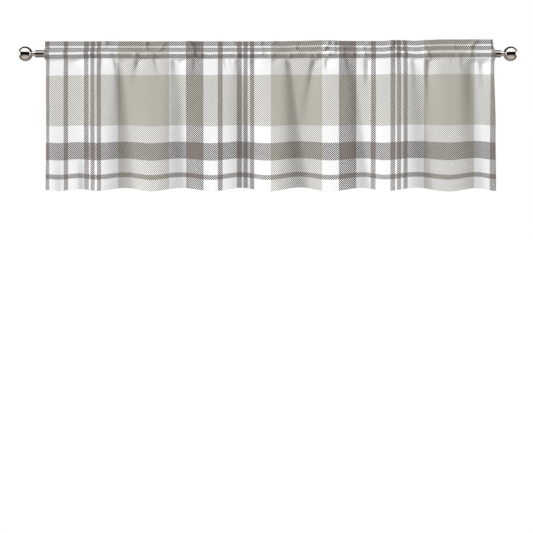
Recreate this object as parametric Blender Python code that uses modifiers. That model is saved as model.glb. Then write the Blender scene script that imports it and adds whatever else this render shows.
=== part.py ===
"""Window valance on a curtain rod.

A single cloth panel with a rod pocket and a standing header hangs on a round tube with ball finials.
The rod's axis is X, its middle is the origin, Z is up, and the front of the cloth faces -Y. Metres.
"""

import math
from collections import namedtuple

import bmesh
import bpy

INCH = 0.0254
CLEARANCE = 0.0003

# Rod and finials
ROD_DIAMETER = 0.875 * INCH
ROD_WALL = 0.0006
ROD_LENGTH = 1.419
ROD_SIDES = 32
BALL_DIAMETER = 1.75 * INCH
BALL_CENTRE = 0.7425
BALL_STEPS = 12
NECK_DIAMETER = 0.0145
NECK_FILLET = 0.0022
PLUG_RIM = 0.0030
SPIGOT_LENGTH = 0.022
SPIGOT_CHAMFER = 0.0010
FINIAL_SIDES = 28

# Cloth thicknesses
CLOTH = 0.0012
POCKET_WALL = 0.0010
HEADER_THICKNESS = 0.0022
HEM_EXTRA = 0.0008

# Heights on the cloth, from the rod's axis
HEADER_TOP = 0.0383
HEADER_SEAM = 0.0130
POCKET_SEAM = -0.0142
HEM_BOTTOM = -0.4158
SEAM_ROUNDING = 0.0010
EDGE_ROUNDING = 0.0006
HEM_HEIGHT = 0.0095
SIDE_HEM_WIDTH = 0.0120
HEM_STEP = 0.0015

# How the section is divided
POCKET_ARC_STEPS = 5
HEADER_ROWS = (0.0, 0.5, 1.0)
SKIRT_ROWS = (0.0, 0.020, 0.050, 0.11, 0.20, 0.32, 0.46, 0.62, 0.80)
BASE_COLUMNS = 70
MIN_COLUMN_STEP = 0.0075

# The pocket's seam hangs a little forward of the rod's middle, and the cloth billows out below it
SEAM_FORWARD = 0.0050
SEAM_HALF = 0.0012
BILLOW_REACH = 0.013

# How the folds grow from the pocket's seam, 0, to the hem, 1
FOLD_AT_SEAM = 0.15
FOLD_GROWTH = 0.75
FOLD_SPREAD = 1.2
FOLD_SKEW = 1.4
RISE_ROUNDING = 0.5
CREASE_EASE = 3.0
CREASE_TOP_WIDTH = 0.8
CREASE_END_WIDTH = 1.4
DROP_GROWTH = 1.5

# The cloth's side edges at several heights
Edge = namedtuple("Edge", "height left right")
EDGES = [
    Edge(0.0383, -0.6818, 0.6875),
    Edge(0.0220, -0.6822, 0.6893),
    Edge(0.0100, -0.6839, 0.6945),
    Edge(-0.0100, -0.6839, 0.6955),
    Edge(-0.0240, -0.6790, 0.6925),
    Edge(-0.2300, -0.6785, 0.6987),
    Edge(-0.4158, -0.6802, 0.7016),
]

# Folds: ridges stand forward and valleys lie back, each valley close on the right of its ridge
Fold = namedtuple("Fold", "x_seam x_hem forward")
FOLDS = [
    Fold(-0.684, -0.680, 0.004),
    Fold(-0.664, -0.660, 0.007),
    Fold(-0.600, -0.574, 0.005),
    Fold(-0.482, -0.533, 0.009),
    Fold(-0.439, -0.414, -0.013),
    Fold(-0.318, -0.337, 0.008),
    Fold(-0.268, -0.244, -0.011),
    Fold(-0.188, -0.186, 0.002),
    Fold(-0.121, -0.150, 0.007),
    Fold(-0.071, -0.044, -0.011),
    Fold(0.040, 0.031, 0.011),
    Fold(0.072, 0.129, -0.012),
    Fold(0.236, 0.238, 0.005),
    Fold(0.266, 0.318, -0.010),
    Fold(0.410, 0.402, 0.011),
    Fold(0.472, 0.508, -0.012),
    Fold(0.572, 0.570, -0.004),
    Fold(0.636, 0.674, -0.020),
    Fold(0.692, 0.698, -0.020),
]

# How far each place along the hem hangs below or above its even line
Wave = namedtuple("Wave", "x drop")
HEM_WAVE = [
    Wave(-0.680, 0.001),
    Wave(-0.643, 0.004),
    Wave(-0.575, -0.002),
    Wave(-0.523, 0.004),
    Wave(-0.435, -0.006),
    Wave(-0.355, 0.005),
    Wave(-0.263, -0.006),
    Wave(-0.168, 0.005),
    Wave(-0.080, -0.006),
    Wave(0.003, 0.005),
    Wave(0.101, -0.007),
    Wave(0.190, 0.005),
    Wave(0.294, -0.006),
    Wave(0.361, 0.004),
    Wave(0.459, -0.006),
    Wave(0.554, 0.005),
    Wave(0.643, -0.006),
    Wave(0.697, 0.002),
]

# How far the cloth billows forward under the pocket
Billow = namedtuple("Billow", "x forward")
BILLOWS = [
    Billow(-0.574, -0.0030),
    Billow(-0.528, 0.0045),
]

# The header stands higher towards the right
Rise = namedtuple("Rise", "x height")
HEADER_RISE = [
    Rise(0.030, 0.0000),
    Rise(0.100, 0.0015),
    Rise(0.180, 0.0030),
    Rise(0.245, 0.0012),
    Rise(0.350, 0.0012),
    Rise(0.385, 0.0036),
    Rise(0.415, 0.0034),
    Rise(0.450, 0.0018),
    Rise(0.490, 0.0046),
    Rise(0.530, 0.0058),
]

# Troughs, steep on the left, that run down from the pocket's seam or up from the hem
Crease = namedtuple("Crease", "x_start x_end length depth width")
CREASES = [
    Crease(-0.503, -0.500, 0.060, 0.0016, 0.009),
    Crease(-0.458, -0.442, 0.260, 0.0052, 0.008),
    Crease(-0.396, -0.414, 0.110, 0.0042, 0.009),
    Crease(-0.287, -0.280, 0.120, 0.0040, 0.010),
    Crease(-0.224, -0.224, 0.120, 0.0022, 0.009),
    Crease(-0.096, -0.088, 0.110, 0.0026, 0.010),
    Crease(-0.045, -0.047, 0.060, 0.0020, 0.009),
    Crease(0.066, 0.078, 0.130, 0.0030, 0.010),
    Crease(0.142, 0.098, 0.270, 0.0060, 0.010),
    Crease(0.180, 0.182, 0.060, 0.0032, 0.009),
    Crease(0.307, 0.308, 0.130, 0.0056, 0.009),
    Crease(0.449, 0.458, 0.170, 0.0036, 0.010),
    Crease(0.492, 0.492, 0.230, 0.0058, 0.009),
    Crease(0.625, 0.632, 0.380, 0.0092, 0.026),
    Crease(0.658, 0.662, 0.130, 0.0046, 0.009),
]
HEM_CREASES = [
    Crease(-0.632, -0.628, 0.200, 0.0036, 0.013),
    Crease(-0.563, -0.560, 0.190, 0.0080, 0.013),
]

# Small pleats where the pocket and the header are bunched on the rod
Pucker = namedtuple("Pucker", "x height sway")
PUCKER_WIDTH = 0.011
SWAY_WIDTH = 0.0176
PUCKERS = [
    Pucker(-0.566, 0.0016, 0.0016),
    Pucker(-0.492, 0.0020, -0.0020),
    Pucker(-0.366, 0.0022, 0.0022),
    Pucker(-0.234, 0.0022, -0.0024),
    Pucker(-0.110, 0.0022, 0.0020),
    Pucker(0.018, 0.0018, -0.0018),
    Pucker(0.092, 0.0020, 0.0020),
    Pucker(0.190, 0.0020, -0.0022),
    Pucker(0.302, 0.0024, 0.0024),
    Pucker(0.384, 0.0018, -0.0018),
    Pucker(0.486, 0.0022, 0.0022),
    Pucker(0.634, 0.0022, -0.0022),
]

COLLECTION = "window_valance"


def clear_scene():
    """Remove every object, so that the model stands alone."""
    for thing in list(bpy.data.objects):
        bpy.data.objects.remove(thing, do_unlink=True)


def parts_collection():
    collection = bpy.data.collections.new(COLLECTION)
    bpy.context.scene.collection.children.link(collection)
    return collection


def plain_material(name, colour, roughness, metallic=0.0):
    material = bpy.data.materials.new(name)
    material.use_nodes = True
    material.diffuse_color = colour
    shader = material.node_tree.nodes["Principled BSDF"]
    shader.inputs["Base Color"].default_value = colour
    shader.inputs["Roughness"].default_value = roughness
    shader.inputs["Metallic"].default_value = metallic
    return material


def place(thing, name, collection, material):
    """Name an object, give it its material, and move it into the part's collection."""
    thing.name = name
    thing.data.name = name
    for owner in list(thing.users_collection):
        owner.objects.unlink(thing)
    collection.objects.link(thing)
    thing.data.materials.clear()
    thing.data.materials.append(material)


def blend(low, high, share):
    return low + (high - low) * share


def smooth(share):
    """A soft step from 0 to 1."""
    held = min(max(share, 0.0), 1.0)
    return 0.5 - 0.5 * math.cos(math.pi * held)


def hump(distance, width):
    return math.exp(-(distance / width) ** 2)


def edge_places(height):
    """The x of the left and right edges of the cloth at one height."""
    if height >= EDGES[0].height:
        return EDGES[0].left, EDGES[0].right
    for upper, lower in zip(EDGES, EDGES[1:]):
        if height >= lower.height:
            share = smooth((upper.height - height) / (upper.height - lower.height))
            return blend(upper.left, lower.left, share), blend(upper.right, lower.right, share)
    return EDGES[-1].left, EDGES[-1].right


def along_table(table, x):
    """The value of a table of (x, value) rows at x, eased between the rows."""
    value = table[0][1]
    for before, after in zip(table, table[1:]):
        value += (after[1] - before[1]) * smooth((x - before[0]) / (after[0] - before[0]))
    return value


def fold_forward(x, down):
    """Forward reach of the hanging folds, where down runs from the seam, 0, to the hem, 1."""
    places = [blend(fold.x_seam, fold.x_hem, down ** FOLD_SPREAD) for fold in FOLDS]
    forward = FOLDS[0].forward
    for index in range(1, len(FOLDS)):
        share = min(max((x - places[index - 1]) / (places[index] - places[index - 1]), 0.0), 1.0)
        step = FOLDS[index].forward - FOLDS[index - 1].forward
        if step < 0.0:
            forward += step * smooth(share ** FOLD_SKEW)
        else:
            forward += step * blend(share, 1.0 - smooth((1.0 - share) ** FOLD_SKEW), RISE_ROUNDING)
    return forward


def trough(crease, x, away):
    """Depth of one crease at a place, where away is the distance from the end it starts at."""
    if away >= crease.length:
        return 0.0
    run = away / crease.length
    offset = x - blend(crease.x_start, crease.x_end, run)
    width = crease.width * blend(CREASE_TOP_WIDTH, CREASE_END_WIDTH, run)
    if offset > 0.0:
        width *= CREASE_EASE
    return crease.depth * (1.0 - smooth(run)) * hump(offset, width)


def crease_at(x, down):
    """How far the creases push the cloth back."""
    length = POCKET_SEAM - HEM_BOTTOM
    depth = sum(trough(crease, x, down * length) for crease in CREASES)
    return depth + sum(trough(crease, x, (1.0 - down) * length) for crease in HEM_CREASES)


def skirt_point(x, down):
    """Front skin of the skirt: its y and z at a place along the width and a share of the way down."""
    below = down * (POCKET_SEAM - HEM_BOTTOM)
    out = smooth(below / BILLOW_REACH)
    depth = blend(FOLD_AT_SEAM, 1.0, down ** FOLD_GROWTH)
    hang = blend(SEAM_FORWARD, 0.0, smooth(down))
    billow = along_table(BILLOWS, x) * (1.0 - smooth(down))
    y = -SEAM_HALF - hang - out * (billow + fold_forward(x, down) * depth - crease_at(x, down))
    z = blend(POCKET_SEAM - SEAM_ROUNDING, HEM_BOTTOM, down)
    z -= along_table(HEM_WAVE, x) * down ** DROP_GROWTH
    return y, z


def pucker_height(x):
    return sum(pucker.height * hump(x - pucker.x, PUCKER_WIDTH) for pucker in PUCKERS)


def header_sway(x):
    return sum(pucker.sway * hump(x - pucker.x, SWAY_WIDTH) for pucker in PUCKERS)


def side_hem_extra(x, height):
    """Extra thickness on the back, where the side hems are turned."""
    left, right = edge_places(height)
    inside = min(x - left, right - x)
    return HEM_EXTRA * (1.0 - smooth((inside - SIDE_HEM_WIDTH) / HEM_STEP))


def pocket_angles(side):
    """Angles from straight up, between the points where a wall of the pocket leaves the rod."""
    radius = pocket_radius()
    lean = math.atan2(SEAM_FORWARD, -POCKET_SEAM)
    first = math.acos(radius / HEADER_SEAM)
    last = math.pi + side * lean - math.acos(radius / math.hypot(SEAM_FORWARD, POCKET_SEAM))
    return [blend(first, last, step / POCKET_ARC_STEPS) for step in range(POCKET_ARC_STEPS + 1)]


def pocket_radius():
    """Radius of the pocket's corners, so that its flats still clear the rod."""
    clear = ROD_DIAMETER / 2.0 + CLEARANCE
    flat_angle = math.radians(14.0)
    return clear / math.cos(flat_angle)


def pocket_wall_points(x, side):
    """One wall of the pocket, from the header's seam down: pairs of outer and inner points (y, z)."""
    radius = pocket_radius()
    angles = pocket_angles(side)
    pairs = []
    for index, angle in enumerate(angles):
        middle = math.sin(math.pi * (index + 1) / (len(angles) + 1))
        bulge = pucker_height(x) * middle
        inner = radius + bulge
        outer = inner + POCKET_WALL
        pairs.append((
            (side * outer * math.sin(angle), outer * math.cos(angle)),
            (side * inner * math.sin(angle), inner * math.cos(angle)),
        ))
    return pairs


def header_points(x):
    """Header, from its top corner down to the seam: pairs of front and back points (y, z)."""
    pairs = []
    top = HEADER_TOP + along_table(HEADER_RISE, x) - EDGE_ROUNDING
    for row in reversed(HEADER_ROWS):
        z = blend(HEADER_SEAM + SEAM_ROUNDING, top, row)
        y = header_sway(x) * row
        pairs.append(((y - HEADER_THICKNESS / 2.0, z), (y + HEADER_THICKNESS / 2.0, z)))
    return pairs


def skirt_downs():
    """Shares of the way down the skirt, with a close pair at the top of the bottom hem."""
    length = POCKET_SEAM - SEAM_ROUNDING - HEM_BOTTOM
    hem_top = 1.0 - HEM_HEIGHT / length
    return list(SKIRT_ROWS) + [hem_top - HEM_STEP / length, hem_top, 1.0 - EDGE_ROUNDING / length]


def skirt_points(x):
    """Skirt, from the seam down to the hem: pairs of front and back points (y, z)."""
    downs = skirt_downs()
    hem_top = downs[-2]
    pairs = []
    for down in downs:
        y, z = skirt_point(x, down)
        thickness = CLOTH + side_hem_extra(x, z)
        if down == 0.0:
            thickness = 2.0 * SEAM_HALF
        if down >= hem_top:
            thickness += HEM_EXTRA
        pairs.append(((y, z), (y + thickness, z)))
    return pairs


def section(x):
    """Outer loop and pocket loop of the cloth's cross-section, and the strips that fill its ends."""
    header = header_points(x)
    front_wall = pocket_wall_points(x, -1.0)
    back_wall = pocket_wall_points(x, 1.0)
    skirt = skirt_points(x)
    top_front, top_back = header[0]
    hem_front, hem_back = skirt[-1]
    top = ((top_front[0] + top_back[0]) / 2.0, top_front[1] + EDGE_ROUNDING)
    bottom = ((hem_front[0] + hem_back[0]) / 2.0, hem_front[1] - EDGE_ROUNDING)
    outer = [top]
    outer += [pair[0] for pair in header]
    outer += [pair[0] for pair in front_wall]
    outer += [pair[0] for pair in skirt]
    outer += [bottom]
    outer += [pair[1] for pair in reversed(skirt)]
    outer += [pair[0] for pair in reversed(back_wall)]
    outer += [pair[1] for pair in reversed(header)]
    inner = [(0.0, HEADER_SEAM)]
    inner += [pair[1] for pair in front_wall]
    inner += [(-SEAM_FORWARD, POCKET_SEAM)]
    inner += [pair[1] for pair in reversed(back_wall)]
    return outer, inner


def section_end_faces():
    """Faces that close an end of the cloth, as runs of ("outer" or "inner", index)."""
    header_count = len(HEADER_ROWS)
    wall_count = POCKET_ARC_STEPS + 1
    skirt_count = len(skirt_downs())
    outer_count = 2 * (header_count + wall_count + skirt_count) + 2
    inner_count = 2 * wall_count + 2
    faces = [[("outer", 0), ("outer", 1), ("outer", outer_count - 1)]]
    for row in range(1, header_count):
        faces.append([("outer", row), ("outer", row + 1),
                      ("outer", outer_count - row - 1), ("outer", outer_count - row)])
    front = header_count
    back = outer_count - header_count
    faces.append([("outer", front), ("inner", 0), ("outer", back)])
    for step in range(wall_count + 1):
        faces.append([("outer", front + step), ("outer", front + step + 1),
                      ("inner", step + 1), ("inner", step)])
        faces.append([("outer", back - step), ("inner", (inner_count - step) % inner_count),
                      ("inner", inner_count - step - 1), ("outer", back - step - 1)])
    front += wall_count + 1
    back -= wall_count + 1
    faces.append([("outer", front), ("outer", back), ("inner", wall_count + 1)])
    for row in range(skirt_count - 1):
        faces.append([("outer", front + row), ("outer", front + row + 1),
                      ("outer", back - row - 1), ("outer", back - row)])
    faces.append([("outer", front + skirt_count - 1), ("outer", front + skirt_count),
                  ("outer", back - skirt_count + 1)])
    return faces


def column_shares():
    """Places of the sections along the width, 0 to 1: even steps, with more beside each crease."""
    left, right = EDGES[-2].left, EDGES[-2].right
    width = right - left
    wanted = [0.0, SIDE_HEM_WIDTH / width, (SIDE_HEM_WIDTH + HEM_STEP) / width]
    wanted += [1.0 - share for share in wanted]
    for crease in CREASES:
        for offset in (-crease.width, 0.0, crease.width):
            wanted.append((crease.x_start + offset - left) / width)
    wanted += [index / BASE_COLUMNS for index in range(BASE_COLUMNS + 1)]
    kept = []
    for share in wanted:
        near_hem_step = len(kept) < 6
        if near_hem_step or min(abs(share - other) for other in kept) * width >= MIN_COLUMN_STEP:
            kept.append(share)
    return sorted(kept)


def column_points(share):
    """One column of points: the section at a share of the width, set out between the side edges."""
    left, right = edge_places(0.5 * (POCKET_SEAM + HEM_BOTTOM))
    nominal = blend(left, right, share)
    loops = []
    for loop in section(nominal):
        points = []
        for y, z in loop:
            row_left, row_right = edge_places(z)
            points.append((blend(row_left, row_right, share), y, z))
        loops.append(points)
    return loops


def build_cloth(collection, material):
    """Loft the cloth through its sections: one solid, with the pocket open at both ends."""
    mesh = bpy.data.meshes.new("valance")
    body = bmesh.new()
    columns = []
    for share in column_shares():
        outer, inner = column_points(share)
        columns.append({
            "outer": [body.verts.new(point) for point in outer],
            "inner": [body.verts.new(point) for point in inner],
        })
    for before, after in zip(columns, columns[1:]):
        for loop in ("outer", "inner"):
            count = len(before[loop])
            for index in range(count):
                following = (index + 1) % count
                body.faces.new((before[loop][index], before[loop][following],
                                after[loop][following], after[loop][index]))
    for column in (columns[0], columns[-1]):
        for face in section_end_faces():
            body.faces.new([column[loop][index] for loop, index in face])
    bmesh.ops.recalc_face_normals(body, faces=body.faces)
    body.to_mesh(mesh)
    body.free()
    cloth = bpy.data.objects.new("valance", mesh)
    place(cloth, "valance", collection, material)
    mesh.shade_smooth()
    mesh.set_sharp_from_angle(angle=math.radians(50.0))


def build_rod(collection, material):
    """A plain tube, open at both ends."""
    bpy.ops.mesh.primitive_cylinder_add(vertices=ROD_SIDES, radius=ROD_DIAMETER / 2.0,
                                        depth=ROD_LENGTH, end_fill_type="NOTHING")
    rod = bpy.context.object
    rod.rotation_euler = (0.0, math.pi / 2.0, 0.0)
    place(rod, "rod", collection, material)
    wall = rod.modifiers.new("wall", "SOLIDIFY")
    wall.thickness = ROD_WALL
    wall.offset = -1.0
    rod.data.shade_smooth()
    rod.data.set_sharp_from_angle(angle=math.radians(40.0))


def finial_profile():
    """Radius and height along the finial, from the ball's pole down to the spigot's end."""
    ball = BALL_DIAMETER / 2.0
    neck = NECK_DIAMETER / 2.0
    fillet_middle = NECK_FILLET * (1.0 - math.sqrt(0.5))
    rim_top = ROD_LENGTH / 2.0 + CLEARANCE + PLUG_RIM
    rim_bottom = ROD_LENGTH / 2.0 + CLEARANCE
    spigot = ROD_DIAMETER / 2.0 - ROD_WALL - CLEARANCE
    spigot_end = rim_bottom - SPIGOT_LENGTH
    last_angle = math.pi - math.asin(neck / ball)
    points = []
    for step in range(BALL_STEPS + 1):
        angle = last_angle * step / BALL_STEPS
        points.append((ball * math.sin(angle), BALL_CENTRE + ball * math.cos(angle)))
    points += [
        (neck, rim_top + NECK_FILLET),
        (neck + fillet_middle, rim_top + fillet_middle),
        (neck + NECK_FILLET, rim_top),
        (ROD_DIAMETER / 2.0, rim_top),
        (ROD_DIAMETER / 2.0, rim_bottom),
        (spigot, rim_bottom),
        (spigot, spigot_end + SPIGOT_CHAMFER),
        (spigot - SPIGOT_CHAMFER, spigot_end),
        (0.0, spigot_end),
    ]
    return points


def build_finial(name, side, collection, material):
    """A turned ball on a neck, with a rim that caps the rod and a spigot inside it."""
    profile = finial_profile()
    mesh = bpy.data.meshes.new(name)
    edges = [(index, index + 1) for index in range(len(profile) - 1)]
    mesh.from_pydata([(radius, 0.0, height) for radius, height in profile], edges, [])
    finial = bpy.data.objects.new(name, mesh)
    finial.rotation_euler = (0.0, side * math.pi / 2.0, 0.0)
    place(finial, name, collection, material)
    turn = finial.modifiers.new("turn", "SCREW")
    turn.axis = "Z"
    turn.angle = 2.0 * math.pi
    turn.steps = FINIAL_SIDES
    turn.render_steps = FINIAL_SIDES
    turn.use_merge_vertices = True
    turn.merge_threshold = 0.00001
    turn.use_smooth_shade = True


def main():
    clear_scene()
    collection = parts_collection()
    cloth = plain_material("printed_cloth", (0.62, 0.58, 0.54, 1.0), 0.85)
    tube = plain_material("polished_tube", (0.72, 0.70, 0.67, 1.0), 0.18, 1.0)
    ball = plain_material("polished_ball", (0.74, 0.72, 0.69, 1.0), 0.14, 1.0)
    build_cloth(collection, cloth)
    build_rod(collection, tube)
    build_finial("finial_left", -1.0, collection, ball)
    build_finial("finial_right", 1.0, collection, ball)


main()
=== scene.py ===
"""Looks of the window valance: printed and stitched cloth, polished rod and finials, stage and camera.

The rod's axis is X, its middle is the origin, Z is up, and the front of the cloth faces -Y. Metres.
"""
import math
from collections import namedtuple
from functools import partial

import bpy
import numpy as np
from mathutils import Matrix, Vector, noise


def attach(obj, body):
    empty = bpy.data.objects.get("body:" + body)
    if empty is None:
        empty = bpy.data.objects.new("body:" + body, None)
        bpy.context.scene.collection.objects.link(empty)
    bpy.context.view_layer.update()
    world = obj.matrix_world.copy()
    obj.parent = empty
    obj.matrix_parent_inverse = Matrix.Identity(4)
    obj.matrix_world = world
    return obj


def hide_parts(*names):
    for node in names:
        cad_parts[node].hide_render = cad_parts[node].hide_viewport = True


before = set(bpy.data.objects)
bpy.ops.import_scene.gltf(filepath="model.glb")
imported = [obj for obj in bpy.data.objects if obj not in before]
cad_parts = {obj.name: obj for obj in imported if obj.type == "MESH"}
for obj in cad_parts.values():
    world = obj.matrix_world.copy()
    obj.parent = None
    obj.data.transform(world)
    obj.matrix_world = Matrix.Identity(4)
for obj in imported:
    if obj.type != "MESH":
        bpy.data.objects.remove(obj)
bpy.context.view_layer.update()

BODY = "root"

# Photograph and camera
PHOTO_WIDTH = 533
METRES_PER_PIXEL = 0.00306
ROD_MIDDLE_PIXEL = (268.0, 53.8)
SENSOR = 0.036
LENS = 0.085

# Rod and finials
INCH = 0.0254
ROD_DIAMETER = 0.875 * INCH
ROD_WALL = 0.0006
ROD_LENGTH = 1.419
CLEARANCE = 0.0003
BALL_DIAMETER = 1.75 * INCH
BALL_CENTRE = 0.7425
NECK_DIAMETER = 0.0145
NECK_FLARE = 0.0028
PLUG_RIM = 0.0030
RIM_ROUNDING = 0.0008
SPIGOT_LENGTH = 0.022
RIM_FLARE = 0.8 * NECK_FLARE
TURNED_SIDES = 96
SHARP_ANGLE = 40.0
TUBE_COLOUR = (0.42, 0.385, 0.35, 1.0)
BALL_COLOUR = (0.80, 0.775, 0.74, 1.0)
TUBE_ROUGHNESS = 0.07
BALL_ROUGHNESS = 0.03
SMEAR = 0.06

# Cloth layers
CLOTH = 0.00045
LAYER = 0.0010
LAYER_GAP = 0.0001
HEADER_HALF = 0.0010
SEAM_HALF = 0.0006
POCKET_OVER_ROD = 0.0006
HEMMED_HALF = 1.1 * LAYER

# Heights on the cloth, from the rod's axis
HEADER_TOP = 0.0383
HEADER_SEAM = 0.0130
POCKET_SEAM = -0.0142
HEM_BOTTOM = -0.4158
HEM_HEIGHT = 0.0095
SIDE_HEM_WIDTH = 0.0120
HEM_GROOVE = 0.0004
HEM_GROOVE_WIDTH = 0.0045
TAIL = 0.0030
TAIL_LEAN = 0.0004
HEADER_BOTTOM = HEADER_SEAM + POCKET_OVER_ROD
POCKET_BOTTOM = POCKET_SEAM - POCKET_OVER_ROD
HANGING = POCKET_SEAM - HEM_BOTTOM

# How the folds grow from the pocket's seam, 0, to the hem, 1
FOLD_AT_SEAM = 0.15
FOLD_GROWTH = 0.75
FOLD_SPREAD = 1.2
FOLD_SKEW = 1.4
RISE_ROUNDING = 0.5
CREASE_EASE = 3.0
CREASE_TOP_WIDTH = 0.8
CREASE_END_WIDTH = 1.4
DROP_GROWTH = 1.5

# The pocket's seam hangs a little forward of the rod's middle, and the cloth billows out below it
SEAM_FORWARD = 0.0050
BILLOW_REACH = 0.013
FINE_REACH = 0.003
SEAM_EASE = 0.06
HEM_EASE = 0.1

# The cloth's side edges at several heights
Edge = namedtuple("Edge", "height left right")
EDGES = [
    Edge(0.0383, -0.6818, 0.6875),
    Edge(0.0220, -0.6822, 0.6893),
    Edge(0.0100, -0.6839, 0.6945),
    Edge(-0.0100, -0.6839, 0.6955),
    Edge(-0.0240, -0.6790, 0.6925),
    Edge(-0.2300, -0.6785, 0.6987),
    Edge(-0.4158, -0.6802, 0.7016),
]

# Folds: ridges stand forward and valleys lie back, each valley close on the right of its ridge
Fold = namedtuple("Fold", "x_seam x_hem forward")
FOLDS = [
    Fold(-0.684, -0.680, 0.004),
    Fold(-0.664, -0.660, 0.007),
    Fold(-0.600, -0.574, 0.005),
    Fold(-0.482, -0.533, 0.009),
    Fold(-0.439, -0.414, -0.013),
    Fold(-0.318, -0.337, 0.008),
    Fold(-0.268, -0.244, -0.011),
    Fold(-0.188, -0.186, 0.002),
    Fold(-0.121, -0.150, 0.007),
    Fold(-0.071, -0.044, -0.011),
    Fold(0.040, 0.031, 0.011),
    Fold(0.072, 0.129, -0.012),
    Fold(0.236, 0.238, 0.005),
    Fold(0.266, 0.318, -0.010),
    Fold(0.410, 0.402, 0.011),
    Fold(0.472, 0.508, -0.012),
    Fold(0.572, 0.570, -0.004),
    Fold(0.636, 0.674, -0.020),
    Fold(0.692, 0.698, -0.020),
]

# How far each place along the hem hangs below or above its even line
Wave = namedtuple("Wave", "x drop")
HEM_WAVE = [
    Wave(-0.680, 0.001),
    Wave(-0.643, 0.004),
    Wave(-0.575, -0.002),
    Wave(-0.523, 0.004),
    Wave(-0.435, -0.006),
    Wave(-0.355, 0.005),
    Wave(-0.263, -0.006),
    Wave(-0.168, 0.005),
    Wave(-0.080, -0.006),
    Wave(0.003, 0.005),
    Wave(0.101, -0.007),
    Wave(0.190, 0.005),
    Wave(0.294, -0.006),
    Wave(0.361, 0.004),
    Wave(0.459, -0.006),
    Wave(0.554, 0.005),
    Wave(0.643, -0.006),
    Wave(0.697, 0.002),
]

# How far the cloth billows forward under the pocket, or back
Billow = namedtuple("Billow", "x forward")
BILLOWS = [
    Billow(-0.574, -0.0030),
    Billow(-0.528, 0.0045),
]

# The header stands higher towards the right
Rise = namedtuple("Rise", "x height")
HEADER_RISE = [
    Rise(0.030, 0.0000),
    Rise(0.100, 0.0015),
    Rise(0.180, 0.0030),
    Rise(0.245, 0.0012),
    Rise(0.350, 0.0012),
    Rise(0.385, 0.0036),
    Rise(0.415, 0.0034),
    Rise(0.450, 0.0018),
    Rise(0.490, 0.0046),
    Rise(0.530, 0.0058),
]

# Troughs, steep on the left, that run down from the pocket's seam or up from the hem
Crease = namedtuple("Crease", "x_start x_end length depth width")
CREASES = [
    Crease(-0.503, -0.500, 0.060, 0.0016, 0.009),
    Crease(-0.458, -0.442, 0.260, 0.0052, 0.008),
    Crease(-0.396, -0.414, 0.110, 0.0042, 0.009),
    Crease(-0.287, -0.280, 0.120, 0.0040, 0.010),
    Crease(-0.224, -0.224, 0.120, 0.0022, 0.009),
    Crease(-0.096, -0.088, 0.110, 0.0026, 0.010),
    Crease(-0.045, -0.047, 0.060, 0.0020, 0.009),
    Crease(0.066, 0.078, 0.130, 0.0030, 0.010),
    Crease(0.142, 0.098, 0.270, 0.0060, 0.010),
    Crease(0.180, 0.182, 0.060, 0.0032, 0.009),
    Crease(0.307, 0.308, 0.130, 0.0056, 0.009),
    Crease(0.449, 0.458, 0.170, 0.0036, 0.010),
    Crease(0.492, 0.492, 0.230, 0.0058, 0.009),
    Crease(0.625, 0.632, 0.380, 0.0092, 0.026),
    Crease(0.658, 0.662, 0.130, 0.0046, 0.009),
]
HEM_CREASES = [
    Crease(-0.632, -0.628, 0.200, 0.0036, 0.013),
    Crease(-0.563, -0.560, 0.190, 0.0080, 0.013),
]
FINE_CREASES = [
    Crease(-0.506, -0.514, 0.035, 0.0020, 0.0040),
    Crease(-0.471, -0.456, 0.060, 0.0031, 0.0040),
    Crease(-0.399, -0.408, 0.050, 0.0031, 0.0040),
    Crease(-0.347, -0.328, 0.075, 0.0031, 0.0050),
    Crease(-0.291, -0.282, 0.060, 0.0026, 0.0050),
    Crease(-0.266, -0.260, 0.030, 0.0036, 0.0060),
    Crease(-0.224, -0.224, 0.060, 0.0026, 0.0050),
    Crease(-0.134, -0.120, 0.050, 0.0031, 0.0040),
    Crease(-0.116, -0.108, 0.045, 0.0026, 0.0040),
    Crease(-0.094, -0.092, 0.055, 0.0031, 0.0050),
    Crease(-0.047, -0.047, 0.040, 0.0031, 0.0060),
    Crease(0.020, 0.018, 0.025, 0.0036, 0.0050),
    Crease(0.057, 0.068, 0.060, 0.0031, 0.0050),
    Crease(0.140, 0.130, 0.050, 0.0031, 0.0050),
    Crease(0.180, 0.180, 0.045, 0.0041, 0.0050),
    Crease(0.241, 0.258, 0.080, 0.0046, 0.0060),
    Crease(0.299, 0.302, 0.090, 0.0046, 0.0050),
    Crease(0.388, 0.390, 0.030, 0.0026, 0.0060),
    Crease(0.442, 0.448, 0.040, 0.0036, 0.0060),
    Crease(0.485, 0.485, 0.100, 0.0051, 0.0050),
    Crease(0.562, 0.564, 0.030, 0.0020, 0.0060),
    Crease(0.592, 0.602, 0.050, 0.0031, 0.0060),
    Crease(0.652, 0.657, 0.060, 0.0041, 0.0060),
]

# Places just under the pocket where the cloth is drawn back
Recess = namedtuple("Recess", "x half depth")
RECESS_DROP = 0.009
RECESSES = [
    Recess(-0.655, 0.026, 0.0050),
    Recess(-0.592, 0.020, 0.0075),
    Recess(-0.452, 0.030, 0.0040),
    Recess(-0.395, 0.012, 0.0030),
    Recess(-0.262, 0.030, 0.0040),
    Recess(-0.092, 0.016, 0.0020),
    Recess(0.010, 0.014, 0.0020),
    Recess(0.150, 0.012, 0.0025),
    Recess(0.300, 0.012, 0.0025),
    Recess(0.425, 0.014, 0.0020),
    Recess(0.500, 0.016, 0.0025),
    Recess(0.590, 0.016, 0.0025),
    Recess(0.630, 0.016, 0.0025),
]

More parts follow.
